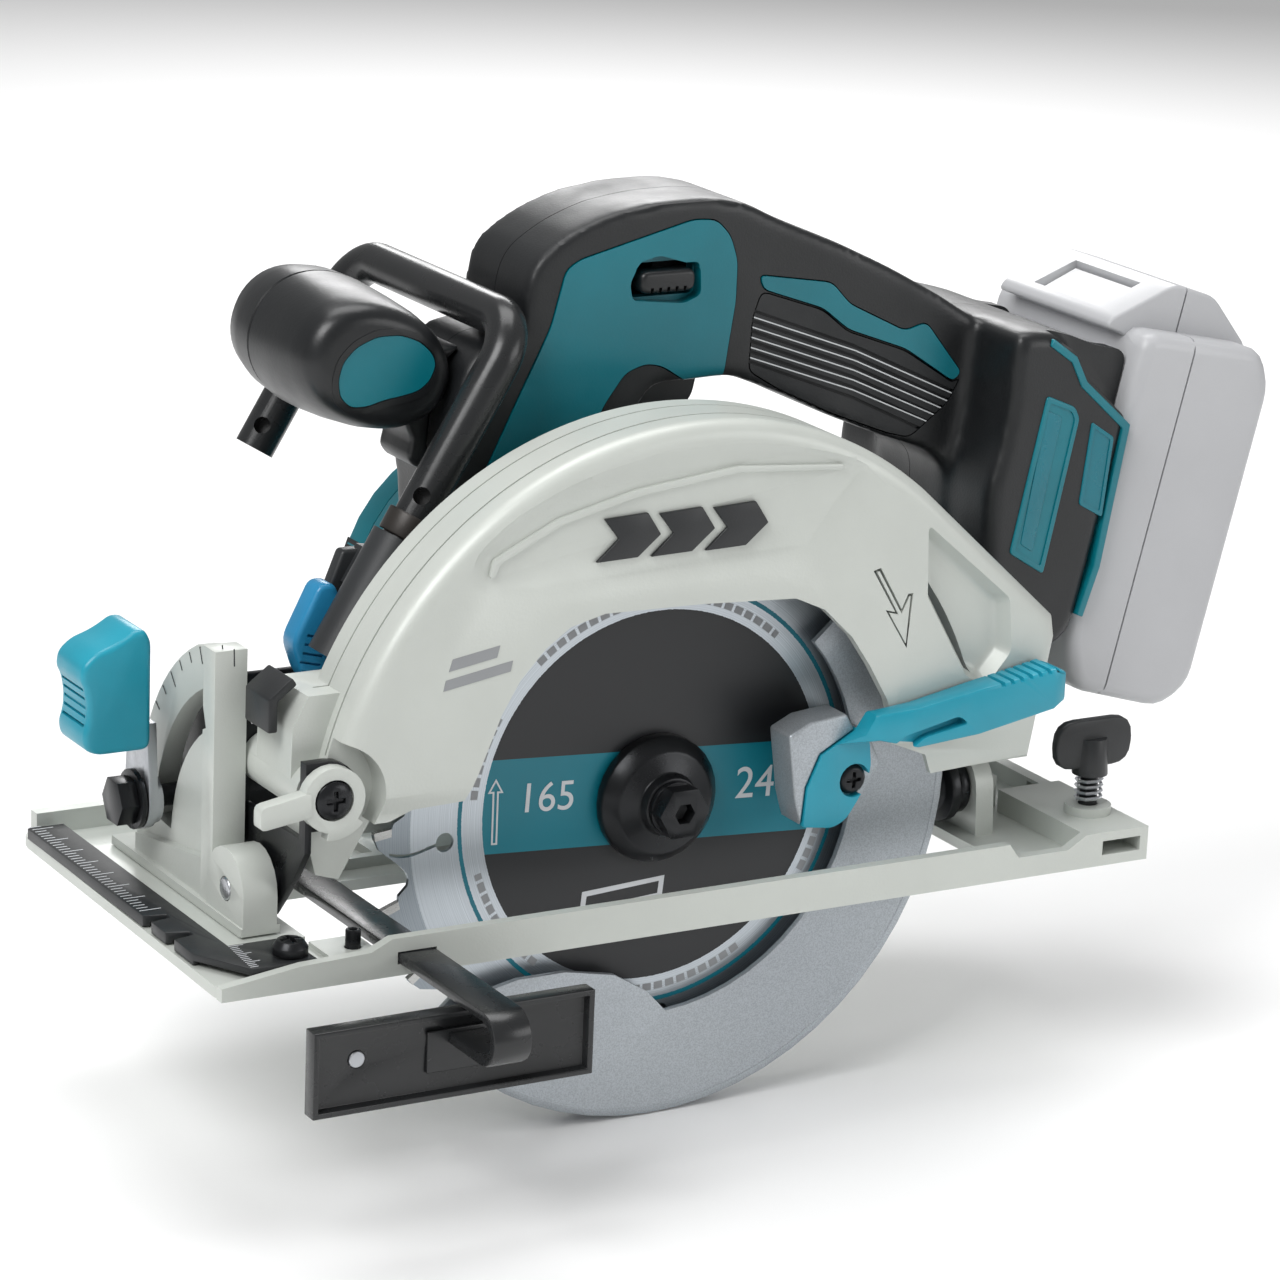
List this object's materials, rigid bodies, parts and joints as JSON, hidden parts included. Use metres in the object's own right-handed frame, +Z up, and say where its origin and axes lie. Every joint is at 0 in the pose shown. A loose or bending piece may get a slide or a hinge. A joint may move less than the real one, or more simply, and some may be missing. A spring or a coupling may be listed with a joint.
{
  "type": "cordless circular saw",
  "caption": "Cordless circular saw: a guarded toothed blade on a tilting base, with a rear D handle, a side-set motor, a slide-on battery and a rip fence.",
  "frame": {"origin": "on the sole's plane, under the blade's axis and 50 mm to the motor side of the blade's plane", "axes": "+X to the rear of the saw where the battery is, +Y to the motor side away from the blade, +Z up; the blade turns in the plane y = -0.05"},
  "size_m": [0.3472, 0.1981, 0.2408],
  "materials": {
    "alloy_paint": "satin",
    "guard_steel": "satin",
    "black_steel": "satin",
    "bare_steel": "satin",
    "teal_plastic": "satin",
    "bright_teal": "satin",
    "black_plastic": "matte",
    "soft_grip": "matte",
    "pale_plastic": "satin",
    "copper": "satin",
    "board": "gloss",
    "lens": "gloss"
  },
  "bodies": {
    "base": {"base_plate": "alloy_paint", "scale_plate": "black_plastic", "scale_plate_screw": "bare_steel", "calibration_screw": "black_steel", "bevel_quadrant": "alloy_paint", "front_pivot_pin": "bare_steel", "rear_pivot_bolt": "black_steel", "fence_clamp_spring": "bare_steel"},
    "rip_fence": {"rip_fence_bar": "black_steel", "rip_fence_plate": "black_steel"},
    "fence_clamp": {"fence_clamp_screw": "black_plastic"},
    "bevel_frame": {"front_hinge_bracket": "black_steel", "rear_hinge_bracket": "black_steel", "depth_guide": "bare_steel", "depth_pivot_shaft": "bare_steel", "depth_pivot_screw": "black_steel"},
    "bevel_lever": {"bevel_clamp_bolt": "black_steel", "bevel_lever_arm": "bare_steel", "bevel_lever_grip": "bright_teal"},
    "stop_lever": {"bevel_stop_lever": "guard_steel"},
    "saw_head": {"upper_guard": "alloy_paint", "rubber_bumper": "soft_grip", "gear_housing": "alloy_paint", "motor_housing": "teal_plastic", "stator": "copper", "motor_end_cap": "black_plastic", "handle_near": "soft_grip", "handle_far": "soft_grip", "switch_body": "black_plastic", "terminal_block": "bright_teal", "controller_board": "board", "front_grip": "soft_grip", "hook_sleeve": "black_plastic", "lamp": "lens", "spindle_bearing_near": "bare_steel", "spindle_bearing_far": "bare_steel", "rotor_bearing_middle": "bare_steel", "rotor_bearing_far": "bare_steel"},
    "blade_set": {"saw_blade": "bare_steel", "outer_flange": "black_steel", "inner_flange": "black_steel", "blade_bolt": "black_steel", "spindle": "bare_steel", "spindle_gear": "bare_steel"},
    "rotor": {"rotor_shaft": "bare_steel", "rotor_magnet": "bare_steel", "cooling_fan": "black_plastic"},
    "retracting_guard": {"lower_guard": "guard_steel", "guard_lever_bracket": "guard_steel", "guard_lever": "bright_teal", "guard_lever_screw": "bare_steel"},
    "hook": {"rafter_hook": "black_steel", "hook_collar": "black_steel"},
    "trigger": {"trigger": "black_plastic"},
    "lock_off": {"lock_off_button": "black_plastic"},
    "spindle_lock": {"spindle_lock_button": "black_plastic"},
    "battery": {"battery": "pale_plastic"},
    "battery_button": {"battery_button": "pale_plastic"},
    "depth_lock": {"depth_lock_bolt": "bare_steel", "depth_lock_lever": "bright_teal"}
  },
  "joints": [
    {"name": "bevel_tilt", "type": "hinge", "parent": "base", "child": "bevel_frame", "pos_m": [-0.118, -0.045, 0.015], "axis": [1, 0, 0], "range_deg": [0, 50]},
    {"name": "depth_swing", "type": "hinge", "parent": "bevel_frame", "child": "saw_head", "pos_m": [-0.1045, -0.05, 0.0445], "axis": [0, -1, 0], "range_deg": [0, 31]},
    {"name": "blade_spin", "type": "hinge", "parent": "saw_head", "child": "blade_set", "pos_m": [0, -0.05, 0.026], "axis": [0, -1, 0], "continuous": true},
    {"name": "rotor_spin", "type": "hinge", "parent": "saw_head", "child": "rotor", "pos_m": [0.003, 0.01, 0.05384], "axis": [0, -1, 0], "continuous": true},
    {"name": "guard_retract", "type": "hinge", "parent": "saw_head", "child": "retracting_guard", "pos_m": [0, -0.05, 0.026], "axis": [0, -1, 0], "range_deg": [0, 130], "stiffness_Nm_per_rad": 0.02},
    {"name": "hook_swing", "type": "hinge", "parent": "saw_head", "child": "hook", "pos_m": [-0.063, -0.034, 0.107], "axis": [0.5139, 0, 0.8578], "range_deg": [0, 180]},
    {"name": "trigger_pull", "type": "hinge", "parent": "saw_head", "child": "trigger", "pos_m": [0.008, -0.004, 0.136], "axis": [0, -1, 0], "range_deg": [0, 12], "stiffness_Nm_per_rad": 0.05},
    {"name": "lock_off_press", "type": "slide", "parent": "saw_head", "child": "lock_off", "axis": [0, 1, 0], "range_m": [0, 0.0025], "stiffness_N_per_m": 80},
    {"name": "spindle_lock_press", "type": "slide", "parent": "saw_head", "child": "spindle_lock", "axis": [1, 0, 0], "range_m": [0, 0.0021], "stiffness_N_per_m": 80},
    {"name": "battery_slide", "type": "slide", "parent": "saw_head", "child": "battery", "axis": [0.2334, 0, 0.9724], "range_m": [0, 0.08]},
    {"name": "battery_button_press", "type": "slide", "parent": "battery", "child": "battery_button", "axis": [0.3687, 0, -0.9296], "range_m": [0, 0.001], "stiffness_N_per_m": 100},
    {"name": "depth_lock_turn", "type": "hinge", "parent": "saw_head", "child": "depth_lock", "pos_m": [0.06376, -0.012, 0.014], "axis": [0, -1, 0], "range_deg": [0, 25]},
    {"name": "bevel_lever_turn", "type": "hinge", "parent": "bevel_frame", "child": "bevel_lever", "pos_m": [-0.118, 0, 0.026], "axis": [1, 0, 0], "range_deg": [-70, 0]},
    {"name": "stop_lever_turn", "type": "hinge", "parent": "bevel_frame", "child": "stop_lever", "pos_m": [-0.1045, -0.05, 0.0445], "axis": [0, 1, 0], "range_deg": [0, 45]},
    {"name": "fence_slide", "type": "slide", "parent": "base", "child": "rip_fence", "axis": [0, 1, 0], "range_m": [-0.06, 0.02]},
    {"name": "fence_clamp_turn", "type": "hinge", "parent": "base", "child": "fence_clamp", "pos_m": [0.13, -0.066, 0.02], "axis": [0, 0, 1], "range_deg": [-180, 180]}
  ],
  "couplings": [
    {"joint": "rotor_spin", "follows": "blade_spin", "ratio": -3.6667}
  ]
}
